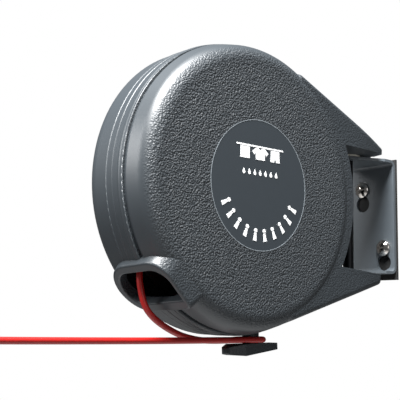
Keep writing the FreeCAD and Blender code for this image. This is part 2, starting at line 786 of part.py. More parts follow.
def make_case():
    front = "-(%s)" % HALF
    room = "(%s - shell_wall)" % HALF
    collar, throat = make_mouth()
    tail, notch, tail_seam, spots = make_tail_form()
    blank = fuse("case_blank", make_drum_form(), tail)
    grooved = cut("case_grooved", blank, notch, tail_seam, make_seam(), *spots)
    solid = fuse("case_solid", grooved, collar, *make_ridges())
    hollow = make_hollow()
    shells = cut("case_hollowed", solid, hollow, throat, *make_tail_hollows())
    bosses = []
    holes = []
    for index, angle in enumerate(CASE_SCREW_ANGLES):
        x, z = on_ring(angle, BOSS_RING)
        bosses.append(cylinder("boss_%d" % index, "boss_radius", "2 * %s + 1" % room,
                               x, "-%s - 0.5" % room, z, "Y"))
        head = HALF + " - counterbore_deep"
        holes.append(cylinder("screw_hole_%d" % index, "case_screw_radius",
                              "case_screw_length + 1", x, head + " - case_screw_length", z, "Y"))
        holes.append(cylinder("counterbore_%d" % index, "case_head_radius + counterbore_gap",
                              "counterbore_deep + 1", x, head, z, "Y"))
    bosses.append(cylinder("axle_boss_front", "axle_boss_radius", "axle_boss_height + 0.5",
                           DRUM_X, "-%s - 0.5" % room, "drum_rise", "Y"))
    bosses.append(cylinder("axle_boss_rear", "axle_boss_radius", "axle_boss_height + 0.5",
                           DRUM_X, "%s - axle_boss_height" % room, "drum_rise", "Y"))
    bosses.append(cylinder("cleat_boss", "cleat_boss_radius",
                           "cleat_boss_height + neck_length - cleat_stand - cleat_boss_sink",
                           CLEAT_X, "0", CLEAT_TOP + " + cleat_boss_height"))
    bosses[-1].Placement.Rotation = FreeCAD.Rotation(FreeCAD.Vector(1, 0, 0), 180)
    holes.append(cylinder("cleat_neck_hole", "neck_radius", "neck_length",
                          CLEAT_X, "0", CLEAT_TOP + " - neck_length"))
    holes.append(cylinder("cleat_screw_hole", "case_screw_radius", "cleat_boss_height + 2",
                          CLEAT_X, "0", CLEAT_TOP + " - 1"))
    holes.append(cylinder("axle_bore", "axle_radius", "case_depth - 2 * axle_inset",
                          DRUM_X, "-(%s - axle_inset)" % HALF, "drum_rise", "Y"))
    holes.append(cylinder("label_seat", "label_radius + label_gap", "label_thick + 1",
                          DRUM_X, front + " - 1", "drum_rise", "Y"))
    bush = "pin_radius + running_gap + bush_wall"
    wide = "pin_head_radius + recess_gap"
    holes.append(cylinder("bush_bore", bush, "2 * %s" % RECESS, PIN_X, "0", "-" + RECESS))
    holes.append(cylinder("head_recess", wide, "drum_radius", PIN_X, "0", RECESS))
    holes.append(cylinder("clip_recess", wide, "drum_radius", PIN_X, "0",
                          "-%s - drum_radius" % RECESS))
    held = common("bosses_held", fuse("boss_solid", *bosses), solid)
    bossed = fuse("case_bossed", shells, held)
    case = cut("case_whole", bossed, *holes)
    block = box("front_block", "3 * drum_radius + " + TAIL_REACH, "front_depth + drum_radius",
                "4 * drum_radius", DRUM_X + " - 1.5 * drum_radius", front + " - drum_radius",
                "drum_rise - 2 * drum_radius")
    node(common("front_case", case, block), "front_shell")
    node(cut("rear_case", case, block), "rear_shell")
    disc = cylinder("label", "label_radius", "label_thick", DRUM_X, front, "drum_rise", "Y")
    node(disc, "label_disc")


def make_case_screws():
    screws = []
    for index, angle in enumerate(CASE_SCREW_ANGLES):
        x, z = on_ring(angle, BOSS_RING)
        seat = HALF + " - counterbore_deep"
        shank = cylinder("case_shank_%d" % index, "case_screw_radius", "case_screw_length",
                         x, seat + " - case_screw_length", z, "Y")
        head = cylinder("case_head_%d" % index, "case_head_radius", "case_head_height",
                        x, seat, z, "Y")
        top = "%s + case_head_height - case_cross_deep" % seat
        long_side = "case_cross_length"
        thin = "case_cross_width"
        flat = box("case_flat_%d" % index, long_side, "2 * case_cross_deep", thin,
                   "%s - case_cross_length / 2" % x, top, "%s - case_cross_width / 2" % z)
        tall = box("case_tall_%d" % index, thin, "2 * case_cross_deep", long_side,
                   "%s - case_cross_width / 2" % x, top, "%s - case_cross_length / 2" % z)
        whole = fuse("case_screw_solid_%d" % index, shank, head)
        screws.append(cut("case_screw_%d" % index, whole, flat, tall))
    node(group("case_screw_set", screws), "shell_screws")


def make_bushes():
    bore = "pin_radius + running_gap"
    outer = "pin_radius + running_gap + bush_wall"
    low = "%s - notch_gap + loose_gap" % NOTCH
    for label, sign in (("upper_pivot_bush", ""), ("lower_pivot_bush", "-")):
        bush = revolved(label + "_form", [
            (bore, sign + "(%s)" % low), ("bush_flange", sign + "(%s)" % low),
            ("bush_flange", sign + "(%s)" % NOTCH), (outer, sign + "(%s)" % NOTCH),
            (outer, sign + "(%s)" % RECESS), (bore, sign + "(%s)" % RECESS)], role="XZ_Plane")
        node(place(bush, PIN_X), label)


# ---- axle, spool and spring ----

WASHER_OUT = "(%s - shell_wall - axle_boss_height)" % HALF
SPOOL_HALF = "(%s - shell_wall - axle_boss_height - washer_thick - side_gap)" % HALF
SPOOL_RADIUS = "(%s - boss_radius - spool_gap)" % BOSS_RING


def make_axle():
    axle = cylinder("axle_rod", "axle_radius", "case_depth - 2 * axle_inset",
                    DRUM_X, "-(%s - axle_inset)" % HALF, "drum_rise", "Y")
    node(axle, "axle")
    for label, start in (("front_thrust_washer", "-" + WASHER_OUT),
                         ("rear_thrust_washer", WASHER_OUT + " - washer_thick")):
        plate = cylinder(label + "_plate", "washer_radius", "washer_thick",
                         DRUM_X, start, "drum_rise", "Y")
        hole = cylinder(label + "_hole", "axle_radius + running_gap", "washer_thick + 2",
                        DRUM_X, start + " - 1", "drum_rise", "Y")
        node(cut(label + "_ring", plate, hole), label)
    post = cylinder("arbor_post", "arbor_radius", "spring_width + 2",
                    DRUM_X, "-(spring_width / 2 + 1)", "drum_rise", "Y")
    bore = cylinder("arbor_bore", "axle_radius", "spring_width + 4",
                    DRUM_X, "-(spring_width / 2 + 2)", "drum_rise", "Y")
    node(cut("arbor", post, bore), "spring_arbor")


def make_spool():
    bush = "axle_radius + running_gap + spool_bush_wall"
    chamber = "core_radius - core_wall"
    cheek_in = "(%s - cheek_thick)" % SPOOL_HALF
    web = "(%s - web_thick)" % SPOOL_HALF
    hub = "(%s - hub_length)" % SPOOL_HALF
    core = revolved("core_form", [
        (chamber, "-" + cheek_in), ("core_radius", "-" + cheek_in), ("core_radius", cheek_in),
        (SPOOL_RADIUS, cheek_in), (SPOOL_RADIUS, SPOOL_HALF), (bush, SPOOL_HALF),
        (bush, hub), ("hub_radius", hub), ("hub_radius", web), (chamber, web)])
    place(core, DRUM_X, "0", "drum_rise")
    cheek = revolved("cheek_form", [
        (chamber, "-" + SPOOL_HALF), (SPOOL_RADIUS, "-" + SPOOL_HALF),
        (SPOOL_RADIUS, "-" + cheek_in), (chamber, "-" + cheek_in)])
    place(cheek, DRUM_X, "0", "drum_rise")
    core_holes = []
    cheek_holes = []
    screws = []
    for index in range(CHEEK_SCREW_COUNT):
        x, z = on_ring(45 + index * 360 / CHEEK_SCREW_COUNT, "core_radius - core_wall / 2")
        out = "-" + SPOOL_HALF
        seat = "%s + cheek_head_height" % out
        core_holes.append(cylinder("core_hole_%d" % index, "cheek_screw_radius",
                                   "cheek_screw_length", x, seat, z, "Y"))
        cheek_holes.append(cylinder("cheek_hole_%d" % index, "cheek_screw_radius",
                                    "cheek_thick + 2", x, out + " - 1", z, "Y"))
        cheek_holes.append(cylinder("cheek_seat_%d" % index, "cheek_head_radius",
                                    "cheek_head_height + 1", x, out + " - 1", z, "Y"))
        shank = cylinder("cheek_shank_%d" % index, "cheek_screw_radius", "cheek_screw_length",
                         x, seat, z, "Y")
        head = cylinder("cheek_head_%d" % index, "cheek_head_radius", "cheek_head_height",
                        x, out, z, "Y")
        screws.append(fuse("cheek_screw_%d" % index, shank, head))
    node(cut("core", core, *core_holes), "spool_core")
    node(cut("cheek", cheek, *cheek_holes), "spool_cheek")
    node(group("cheek_screw_set", screws), "spool_screws")
    cover = revolved("cover_form", [
        (bush, "-" + SPOOL_HALF), (chamber, "-" + SPOOL_HALF), (chamber, "-" + web),
        ("hub_radius", "-" + web), ("hub_radius", "-" + hub), (bush, "-" + hub)])
    node(place(cover, DRUM_X, "0", "drum_rise"), "spring_cover")
    bore = "axle_radius + running_gap"
    for label, sign in (("front_spool_bush", "-"), ("rear_spool_bush", "")):
        sleeve = revolved(label + "_form", [
            (bore, sign + SPOOL_HALF), (bush, sign + SPOOL_HALF),
            (bush, sign + hub), (bore, sign + hub)])
        node(place(sleeve, DRUM_X, "0", "drum_rise"), label)


def make_spring():
    """A spiral strip whose inner end stops clear of the arbor."""
    inner = SIZES["arbor_radius"] + 2 * SIZES["loose_gap"]
    thick = SIZES["spring_thick"]
    outer = number("core_radius - core_wall - spring_thick - spring_rim_gap")
    turns = SIZES["spring_turns"]
    steps = int(turns * SPIRAL_POINTS)

    def spiral(extra):
        points = []
        for step in range(steps + 1):
            turn = 2 * math.pi * turns * step / steps
            radius = inner + (outer - inner) * step / steps + extra
            points.append(FreeCAD.Vector(radius * math.cos(turn), 0, radius * math.sin(turn)))
        curve = Part.BSplineCurve()
        curve.interpolate(points)
        return curve.toShape(), points

    inside, near = spiral(0)
    outside, far = spiral(thick)
    ends = [Part.LineSegment(near[0], far[0]).toShape(), Part.LineSegment(near[-1], far[-1]).toShape()]
    strip = Part.Face(Part.Wire(Part.__sortEdges__([inside, outside] + ends)))
    item = doc.addObject("Part::Feature", "spring_strip")
    item.Shape = strip.extrude(FreeCAD.Vector(0, SIZES["spring_width"], 0))
    item.Placement = FreeCAD.Placement(
        vector(DRUM_X, "-spring_width / 2", "drum_rise"), FreeCAD.Rotation())
    node(item, "mainspring")


def make_winding():
    """The stored line: rings of turns, seen outside as one ridge for each turn."""
    room = 2 * number(SPOOL_HALF) - 2 * SIZES["cheek_thick"]
    count = int(room // (2 * SIZES["line_radius"]))
    cheek_in = "(%s - cheek_thick)" % SPOOL_HALF
    pitch = "(2 * %s / %d)" % (cheek_in, count)
    base = "(winding_radius - line_radius / 2)"
    corners = [("core_radius", "-" + cheek_in)]
    for index in range(count):
        corners.append((base, "-%s + %d * %s" % (cheek_in, index, pitch),
                        "turn_round", "left"))
    corners += [(base, cheek_in), ("core_radius", cheek_in)]
    coil = revolved("winding_form", corners)
    node(place(coil, DRUM_X, "0", "drum_rise"), "wound_line")


# ---- cleat ----

def lozenge(name, role, middle, end):
    """A six-sided pad, widest at the ridge, with its corners rounded."""
    length = "bar_length / 2"
    wide = middle + " / 2"
    narrow = end + " / 2"
    shape = padded(name, role, [
        (length, "-" + narrow), (length, narrow), ("-ridge_shift", wide),
        ("-" + length, narrow), ("-" + length, "-" + narrow), ("-ridge_shift", "-" + wide)],
        "bar_depth + bar_height")
    normal = 1 if role == "XZ_Plane" else 2

    def corner(edge):
        spans = (edge.BoundBox.XLength, edge.BoundBox.YLength, edge.BoundBox.ZLength)
        return spans[normal] > number("bar_height") and max(spans) == spans[normal]

    rounded(shape, "bar_round", corner)
    return shape


def make_cleat():
    bar = common("cleat_bar", lozenge("bar_side", "XZ_Plane", "bar_height", "bar_end_height"),
                 lozenge("bar_plan", "XY_Plane", "bar_depth", "bar_end_depth"))
    doc.recompute()
    lean = FreeCAD.Rotation(FreeCAD.Vector(0, 1, 0), -SIZES["cleat_tilt"])
    bar.Placement = FreeCAD.Placement(FreeCAD.Vector(), lean)
    place(bar, CLEAT_X, "0", "drum_rise - " + CLEAT_DROP)
    neck = cylinder("cleat_neck", "neck_radius", "neck_length",
                    CLEAT_X, "0", "drum_rise - " + CLEAT_DROP)
    screw_hole = cylinder("cleat_thread", "case_screw_radius", "cleat_screw_length",
                          CLEAT_X, "0", CLEAT_TOP + " - cleat_screw_length + cleat_boss_height")
    node(cut("cleat", fuse("cleat_solid", bar, neck), screw_hole), "line_cleat")
    seat = CLEAT_TOP + " + cleat_boss_height"
    shank = cylinder("cleat_shank", "case_screw_radius", "cleat_screw_length",
                     CLEAT_X, "0", seat + " - cleat_screw_length")
    head = cylinder("cleat_head", "case_head_radius", "case_head_height", CLEAT_X, "0", seat)
    node(fuse("cleat_fixing", shank, head), "cleat_screw")


# ---- line ----

def line_tube(label, points):
    """Straight runs joined by tangent arcs, swept with a round section."""
    grow = number("drum_radius / line_drawn_for")
    spots = [FreeCAD.Vector(x * grow, y, z * grow) for x, y, z in points]
    edges = []
    radii = []
    start = spots[0]
    for before, corner, after in zip(spots, spots[1:], spots[2:]):
        back = (before - corner).normalize()
        ahead = (after - corner).normalize()
        turn = math.pi - back.getAngle(ahead)
        reach = BEND_SHARE * min((before - corner).Length, (after - corner).Length)
        radii.append(reach / math.tan(turn / 2))
        first = corner + back * reach
        last = corner + ahead * reach
        bow = (back + ahead).normalize()
        middle = corner + bow * (radii[-1] / math.cos(turn / 2) - radii[-1])
        edges.append(Part.LineSegment(start, first).toShape())
        edges.append(Part.Arc(first, middle, last).toShape())
        start = last
    edges.append(Part.LineSegment(start, spots[-1]).toShape())
    path = Part.Wire(edges)
    radius = SIZES["line_radius"]
    ring = Part.Wire([Part.Circle(spots[0], spots[1] - spots[0], radius).toShape()])
    tube = path.makePipeShell([ring], True, False)
    item = doc.addObject("Part::Feature", label + "_tube")
    item.Shape = tube
    item.Placement = FreeCAD.Placement(vector(DRUM_X, "0", "drum_rise"), FreeCAD.Rotation())
    node(item, label)
    expected = math.pi * radius ** 2 * path.Length
    print("%s: length %.1f mm, volume %.4f of section x length, radii %s" % (
        label, path.Length, tube.Volume / expected, " ".join("%.0f" % size for size in radii)))


def make_line():
    line_tube("line_inside", LINE_INSIDE)
    line_tube("free_line", LINE_ROUTE)
    _, end_y, end_z = LINE_ROUTE[-1]
    y = str(end_y)
    z = "drum_rise + (%r) * drum_radius / line_drawn_for" % end_z
    # the far run drops by a fraction of a millimetre, which the bores clear
    bore_radius = "line_radius + bead_play"
    bead = doc.addObject("Part::Sphere", "bead_ball")
    bind(bead, Radius="bead_radius")
    place(bead, DRUM_X + " - bead_along", y, z)
    bead_bore = cylinder("bead_bore", bore_radius, "2 * bead_radius + 2",
                         DRUM_X + " - bead_along - bead_radius - 1", y, z, "X")
    node(cut("bead", bead, bead_bore), "line_bead")
    tip = DRUM_X + " - hook_along - ferrule_length"
    ferrule = cylinder("ferrule", "ferrule_radius", "ferrule_length", tip, y, z, "X")
    shank = cylinder("hook_shank", "hook_wire", "hook_shank + 1", tip + " - hook_shank", y, z, "X")
    bend = doc.addObject("Part::Torus", "hook_bend")
    bind(bend, Radius1="hook_radius", Radius2="hook_wire")
    bend.Angle3 = 200
    bend.Placement = FreeCAD.Placement(
        FreeCAD.Vector(), FreeCAD.Rotation(FreeCAD.Vector(1, 0, 0), 90)
        .multiply(FreeCAD.Rotation(FreeCAD.Vector(0, 0, 1), 90)))
    place(bend, tip + " - hook_shank", y, z + " - hook_radius")
    ferrule_bore = cylinder("ferrule_bore", bore_radius, "ferrule_length",
                            tip + " + ferrule_end", y, z, "X")
    node(cut("hook", fuse("hook_solid", ferrule, shank, bend), ferrule_bore), "line_hook")


def check_and_export():
    doc.recompute()
    faults = []
    for item in doc.Objects:
        if "Invalid" in item.State or "Error" in item.State:
            faults.append("%s: %s" % (item.Name, item.State))
    for item in NODES:
        if item.Shape.isNull() or not item.Shape.isValid() or not item.Shape.Solids:
            faults.append("%s: bad shape" % item.Label)
    if faults:
        raise RuntimeError("; ".join(faults))
    os.makedirs("parts", exist_ok=True)
    for item in NODES:
        item.Shape.exportStep("parts/%s.step" % item.Label)
        size = item.Shape.BoundBox
        print("%-20s solids %d  volume %9.0f  x %.1f..%.1f y %.1f..%.1f z %.1f..%.1f" % (
            item.Label, len(item.Shape.Solids), item.Shape.Volume, size.XMin, size.XMax,
            size.YMin, size.YMax, size.ZMin, size.ZMax))


make_bracket()
make_wall_pad()
make_wall_screws()
make_pin()
make_case()
make_case_screws()
make_bushes()
make_axle()
make_spool()
make_spring()
make_winding()
make_cleat()
make_line()
check_and_export()
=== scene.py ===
import json
import math

import bmesh
import bpy
from mathutils import Matrix, Vector


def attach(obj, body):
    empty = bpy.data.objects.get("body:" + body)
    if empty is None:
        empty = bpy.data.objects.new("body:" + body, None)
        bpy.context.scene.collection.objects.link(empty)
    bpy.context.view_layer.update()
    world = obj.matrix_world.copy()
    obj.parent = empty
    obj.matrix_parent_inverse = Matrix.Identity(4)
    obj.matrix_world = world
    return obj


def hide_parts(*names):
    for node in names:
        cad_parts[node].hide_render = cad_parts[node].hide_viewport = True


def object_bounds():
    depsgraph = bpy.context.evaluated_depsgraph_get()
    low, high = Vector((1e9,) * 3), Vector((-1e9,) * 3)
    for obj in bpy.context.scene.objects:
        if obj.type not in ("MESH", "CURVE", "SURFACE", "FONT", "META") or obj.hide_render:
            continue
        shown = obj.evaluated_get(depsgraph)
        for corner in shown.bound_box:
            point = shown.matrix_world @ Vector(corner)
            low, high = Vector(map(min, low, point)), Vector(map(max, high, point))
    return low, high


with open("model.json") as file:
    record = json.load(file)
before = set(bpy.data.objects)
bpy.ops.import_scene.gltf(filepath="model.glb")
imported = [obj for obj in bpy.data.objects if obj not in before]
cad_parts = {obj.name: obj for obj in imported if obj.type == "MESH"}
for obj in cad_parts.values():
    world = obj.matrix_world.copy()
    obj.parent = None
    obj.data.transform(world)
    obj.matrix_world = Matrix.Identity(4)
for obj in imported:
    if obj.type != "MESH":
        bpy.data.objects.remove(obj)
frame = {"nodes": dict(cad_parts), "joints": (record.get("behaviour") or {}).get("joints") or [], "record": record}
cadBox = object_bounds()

# A wall-mounted reel of clothesline: the case swings on its bracket, the line comes out of
# the mouth at the lower left, is hitched round the cleat below and runs away along -X.

mm = 0.001
nodes = frame["nodes"]
joints = {joint["name"]: joint for joint in frame["joints"]}
drumAxis = Vector(joints["spool_spin"]["pos_m"])  # middle of the drum


def linear(hexColour, alpha=1.0):
    # sRGB hex to the linear colour that sockets take
    values = [int(hexColour[i:i + 2], 16) / 255 for i in (1, 3, 5)]
    turned = [v / 12.92 if v <= 0.04045 else ((v + 0.055) / 1.055) ** 2.4 for v in values]
    return (*turned, alpha)


def addNode(tree, kind, settings=None, links=None):
    # one node with its properties, socket values and incoming links
    made = tree.nodes.new(kind)
    for name, value in (settings or {}).items():
        if isinstance(name, str) and hasattr(made, name):
            setattr(made, name, value)
        else:
            made.inputs[name].default_value = value
    for name, source in (links or {}).items():
        tree.links.new(source, made.inputs[name])
    return made


def putInScene(made):
    bpy.context.scene.collection.objects.link(made)


def startMaterial(name, **values):
    # a material with one principled shader, constants set on its own sockets
    made = bpy.data.materials.new(name)
    made.use_nodes = True
    made.node_tree.nodes.clear()
    shader = addNode(made.node_tree, "ShaderNodeBsdfPrincipled", values)
    addNode(made.node_tree, "ShaderNodeOutputMaterial", {}, {"Surface": shader.outputs[0]})
    return made, made.node_tree, shader


casePlastic = {
    "colour": "#31363a",
    "shade": "#2a2f33",
    "cloud": 71.43 * mm,   # size of the patches of shade
    "ior": 1.49,
    "roughFine": 0.4,
    "roughGrain": 0.6,
    "grainSize": 1.15 * mm,   # a real pebble is nearer 1 mm, drawn coarser so that it shows
    "grainHeight": 0.95 * mm,
    "grainSoft": 0.7,   # how far one pebble melts into the next
    "bendSize": 4.0,   # the noise that bends the rows of pebbles, in pebbles
    "bend": 0.0012,
    "lumpSize": 0.8,   # the noise that makes the pebbles uneven, in pebbles
    "lump": -0.4,
    "faceRadius": 84 * mm,   # the pebbles fade out at the rounded edge
    "fade": 10 * mm,
    "fadeTo": 0.35,
    "leanStart": -0.55,   # Y of the surface's normal where the pebbles start
    "leanFull": -0.92,   # and where they have their whole height
    "fineSize": 0.5 * mm,   # the fine matt grain everywhere
    "fineHeight": 0.08 * mm,
    "fineStrength": 0.12,
}


def makeCasePlastic():
    # polypropylene, injection moulded: pebble grain on the front face and fine matt elsewhere,
    # so the face breaks into small cells and the rim carries long soft highlights
    d = casePlastic
    made, tree, shader = startMaterial("polypropyleneMoulded", IOR=d["ior"])
    where = addNode(tree, "ShaderNodeNewGeometry")
    spot = where.outputs["Position"]
    middle = addNode(tree, "ShaderNodeVectorMath", {"operation": "SUBTRACT", 1: drumAxis}, {0: spot})
    flat = addNode(tree, "ShaderNodeVectorMath", {"operation": "MULTIPLY", 1: (1, 0, 1)},
                   {0: middle.outputs[0]})
    reach = addNode(tree, "ShaderNodeVectorMath", {"operation": "LENGTH"}, {0: flat.outputs[0]})
    parts = addNode(tree, "ShaderNodeSeparateXYZ", {}, {0: where.outputs["Normal"]})
    forward = addNode(tree, "ShaderNodeMapRange", {"From Min": d["leanStart"],
                      "From Max": d["leanFull"], "To Min": 0.0, "To Max": 1.0},
                      {"Value": parts.outputs["Y"]})
    inside = addNode(tree, "ShaderNodeMapRange", {"From Min": d["faceRadius"] + d["fade"],
                     "From Max": d["faceRadius"] - d["fade"], "To Min": d["fadeTo"], "To Max": 1.0},
                     {"Value": reach.outputs["Value"]})
    mask = addNode(tree, "ShaderNodeMath", {"operation": "MULTIPLY"},
                   {0: forward.outputs[0], 1: inside.outputs[0]})
    wander = addNode(tree, "ShaderNodeTexNoise", {"Scale": 1 / (d["bendSize"] * d["grainSize"]),
                     "Detail": 2.0}, {"Vector": spot})
    bent = addNode(tree, "ShaderNodeMix", {"data_type": "VECTOR", 0: d["bend"]},
                   {4: spot, 5: wander.outputs["Color"]})
    cells = addNode(tree, "ShaderNodeTexVoronoi", {"Scale": 1 / d["grainSize"],
                    "feature": "SMOOTH_F1", "Smoothness": d["grainSoft"]}, {"Vector": bent.outputs[1]})
    uneven = addNode(tree, "ShaderNodeTexNoise", {"Scale": 1 / (d["lumpSize"] * d["grainSize"]),
                     "Detail": 1.0}, {"Vector": spot})
    heaped = addNode(tree, "ShaderNodeMath", {"operation": "MULTIPLY_ADD", 1: d["lump"]},
                     {0: uneven.outputs["Fac"], 2: cells.outputs["Distance"]})
    pebble = addNode(tree, "ShaderNodeMath", {"operation": "MULTIPLY"},
                     {0: heaped.outputs[0], 1: mask.outputs[0]})
    bigBump = addNode(tree, "ShaderNodeBump", {"Strength": 1.0, "Distance": d["grainHeight"],
                      "invert": True}, {"Height": pebble.outputs[0]})
    fine = addNode(tree, "ShaderNodeTexNoise", {"Scale": 1 / d["fineSize"], "Detail": 3.0},
                   {"Vector": spot})
    smallBump = addNode(tree, "ShaderNodeBump", {"Strength": d["fineStrength"],
                        "Distance": d["fineHeight"]},
                        {"Height": fine.outputs["Fac"], "Normal": bigBump.outputs[0]})
    rough = addNode(tree, "ShaderNodeMapRange", {"To Min": d["roughFine"], "To Max": d["roughGrain"]},
                    {"Value": mask.outputs[0]})
    cloud = addNode(tree, "ShaderNodeTexNoise", {"Scale": 1 / d["cloud"], "Detail": 3.0},
                    {"Vector": spot})
    tint = addNode(tree, "ShaderNodeMix", {"data_type": "RGBA", 6: linear(d["colour"]),
                   7: linear(d["shade"])}, {0: cloud.outputs["Fac"]})
    tree.links.new(smallBump.outputs[0], shader.inputs["Normal"])
    tree.links.new(rough.outputs[0], shader.inputs["Roughness"])
    tree.links.new(tint.outputs[2], shader.inputs["Base Color"])
    return made


finishNoise = {"driftDetail": 4.0, "grainDetail": 3.0, "grainStrength": 0.4}


def makeFinish(name, d, **values):
    # a finish with slow drift of colour and roughness over a fine grain, from its dictionary
    made, tree, shader = startMaterial(name, **values)
    where = addNode(tree, "ShaderNodeNewGeometry")
    spot = where.outputs["Position"]
    drift = addNode(tree, "ShaderNodeTexNoise", {"Scale": 1 / d["drift"],
                    "Detail": finishNoise["driftDetail"]}, {"Vector": spot})
    tint = addNode(tree, "ShaderNodeMix", {"data_type": "RGBA", 6: linear(d["colour"]),
                   7: linear(d["shade"])}, {0: drift.outputs["Fac"]})
    rough = addNode(tree, "ShaderNodeMapRange", {"To Min": d["smooth"], "To Max": d["dull"]},
                    {"Value": drift.outputs["Fac"]})
    grain = addNode(tree, "ShaderNodeTexNoise", {"Scale": 1 / d["grain"],
                    "Detail": finishNoise["grainDetail"]}, {"Vector": spot})
    bumped = addNode(tree, "ShaderNodeBump", {"Strength": finishNoise["grainStrength"],
                     "Distance": d["height"]}, {"Height": grain.outputs["Fac"]})
    tree.links.new(tint.outputs[2], shader.inputs["Base Color"])
    tree.links.new(rough.outputs[0], shader.inputs["Roughness"])
    tree.links.new(bumped.outputs[0], shader.inputs["Normal"])
    return made


# satin film over print: flatter and a touch bluer than the case, so the disc reads as a label
vinylFilm = {"colour": "#32383d", "shade": "#2e3439", "drift": 9 * mm, "smooth": 0.42, "dull": 0.5,
             "grain": 1.2 * mm, "height": 0.01 * mm}
labelFilm = makeFinish("vinylLabelPrinted", vinylFilm, IOR=1.5)

# screen-printed white ink: an even opaque white that stays matt beside the film
whiteInk = {"colour": "#f4f5f5", "shade": "#e9ebec", "drift": 6 * mm, "smooth": 0.45, "dull": 0.55,
            "grain": 0.5 * mm, "height": 0.01 * mm}
labelInk = makeFinish("screenPrintWhite", whiteInk, IOR=1.5)

# painted highlight on the film's die-cut edge: a thin pale ring round the label, as if the edge caught the light
edgeHighlightPaint = {"colour": "#82898e", "shade": "#767d82", "drift": 6 * mm, "smooth": 0.3, "dull": 0.4,
            "grain": 0.5 * mm, "height": 0.01 * mm}
labelHighlightFinish = makeFinish("labelEdgePaintedHighlight", edgeHighlightPaint, IOR=1.5)

# painted shade: black closed-cell rubber sheet, cut by a die, coloured near black behind the plate, so it edges
# the plate in black where there is only shadow
padShadeBlack = {"colour": "#151617", "shade": "#101112", "drift": 5 * mm, "smooth": 0.8, "dull": 0.9,
              "grain": 0.7 * mm, "height": 0.08 * mm}
padPaintedShade = makeFinish("rubberPadPaintedShade", padShadeBlack, IOR=1.52)

# powder coat on sheet steel: satin, with a faint orange peel in its reflections
coatedSteel = {"colour": "#585f65", "shade": "#50575c", "drift": 5 * mm, "smooth": 0.36,
               "dull": 0.44, "grain": 0.9 * mm, "height": 0.04 * mm}
powderCoat = makeFinish("steelPowderCoated", coatedSteel, IOR=1.52)

# nickel on steel: mirror bright and slightly warm, black where it mirrors the dark plate
nickelPlate = {"colour": "#d8d4cf", "shade": "#c2bdb8", "drift": 4 * mm, "smooth": 0.1, "dull": 0.2,
               "grain": 0.5 * mm, "height": 0.01 * mm}
nickel = makeFinish("steelNickelPlated", nickelPlate, Metallic=1.0)

# black oxide on a turned pin: a dark metal with a soft line of light along it
oxidePin = {"colour": "#2a2b2d", "shade": "#1f2022", "drift": 3 * mm, "smooth": 0.3, "dull": 0.45,
            "grain": 0.4 * mm, "height": 0.01 * mm}
blackSteel = makeFinish("steelBlackOxide", oxidePin, Metallic=1.0)

# spring strip, heat blued: blue-grey with a fine sheen
bluedStrip = {"colour": "#4a4d55", "shade": "#3a3f4c", "drift": 6 * mm, "smooth": 0.25,
              "dull": 0.35, "grain": 0.8 * mm, "height": 0.01 * mm}
blueSteel = makeFinish("steelSpringBlued", bluedStrip, Metallic=1.0)

# zinc plate: dull, pale and slightly blotchy
zincPlate = {"colour": "#b8bcc0", "shade": "#9da1a5", "drift": 3 * mm, "smooth": 0.3, "dull": 0.45,
             "grain": 0.4 * mm, "height": 0.01 * mm}
zinc = makeFinish("steelZincPlated", zincPlate, Metallic=1.0)

# natural nylon, moulded: milky and waxy
nylonBush = {"colour": "#e2dfd4", "shade": "#d6d2c5", "drift": 8 * mm, "smooth": 0.4, "dull": 0.5,
             "grain": 1.0 * mm, "height": 0.02 * mm}
nylon = makeFinish("nylonNatural", nylonBush, IOR=1.53)

# black ABS of the spool, moulded: an even dark satin
spoolAbs = {"colour": "#303234", "shade": "#2a2c2e", "drift": 8 * mm, "smooth": 0.4, "dull": 0.5,
            "grain": 1.0 * mm, "height": 0.02 * mm}
spoolPlastic = makeFinish("absMoulded", spoolAbs, IOR=1.54)

# PVC jacket, extruded over a braided core: a clear red with a long soft highlight
pvcJacket = {"colour": "#9f1613", "shade": "#8d110e", "drift": 5 * mm, "smooth": 0.34, "dull": 0.44,
             "grain": 0.9 * mm, "height": 0.08 * mm}
linePvc = makeFinish("pvcLineExtruded", pvcJacket, IOR=1.53)

# each slot of the record and what is put on it
finishes = {
    "case_plastic": makeCasePlastic(), "label_vinyl": labelFilm, "bracket_paint": powderCoat,
    # pad_rubber gets the near-black painted shade that edges the plate
    "pad_rubber": padPaintedShade, "bright_screw": nickel, "pin_steel": blackSteel,
    "spring_steel": blueSteel, "zinc_screw": zinc, "nylon": nylon,
    "spool_plastic": spoolPlastic, "line_pvc": linePvc,
}
slotOf = {part["node"]: part["material_slot"] for part in frame["record"]["subparts"]}
for name, item in nodes.items():
    item.data.materials.clear()
    item.data.materials.append(finishes[slotOf[name]])
print("materials on", len(nodes), "nodes")


cameraPlace = {
    "turn": 40.93, "pitch": 7.91, "roll": 0.83,   # degrees
    "lens": 81.0, "sensor": 36.0, "near": 0.01, "far": 20.0,
    "fromDrum": (-399.3 * mm, -431.3 * mm, -88.7 * mm),
}


def makeCamera():
    # low on the left and in front, looking up at the drum
    d = cameraPlace
    turn, pitch, roll = (math.radians(d[key]) for key in ("turn", "pitch", "roll"))
    ahead = Vector((math.sin(turn) * math.cos(pitch), math.cos(turn) * math.cos(pitch), math.sin(pitch)))
    level = Vector((math.cos(turn), -math.sin(turn), 0))
    above = level.cross(ahead)
    right = math.cos(roll) * level + math.sin(roll) * above
    up = math.cos(roll) * above - math.sin(roll) * level
    lens = bpy.data.cameras.new("camera")
    lens.lens = d["lens"]
    lens.sensor_width = d["sensor"]
    lens.clip_start = d["near"]
    lens.clip_end = d["far"]
    made = bpy.data.objects.new("camera", lens)
    putInScene(made)
    axes = Matrix((right, up, -ahead)).transposed().to_4x4()
    made.matrix_world = Matrix.Translation(drumAxis + Vector(d["fromDrum"])) @ axes
    bpy.context.scene.camera = made


makeCamera()
print("camera")


line = {"width": 4.0 * mm, "length": 0.3666, "steps": 12, "roundness": 5}
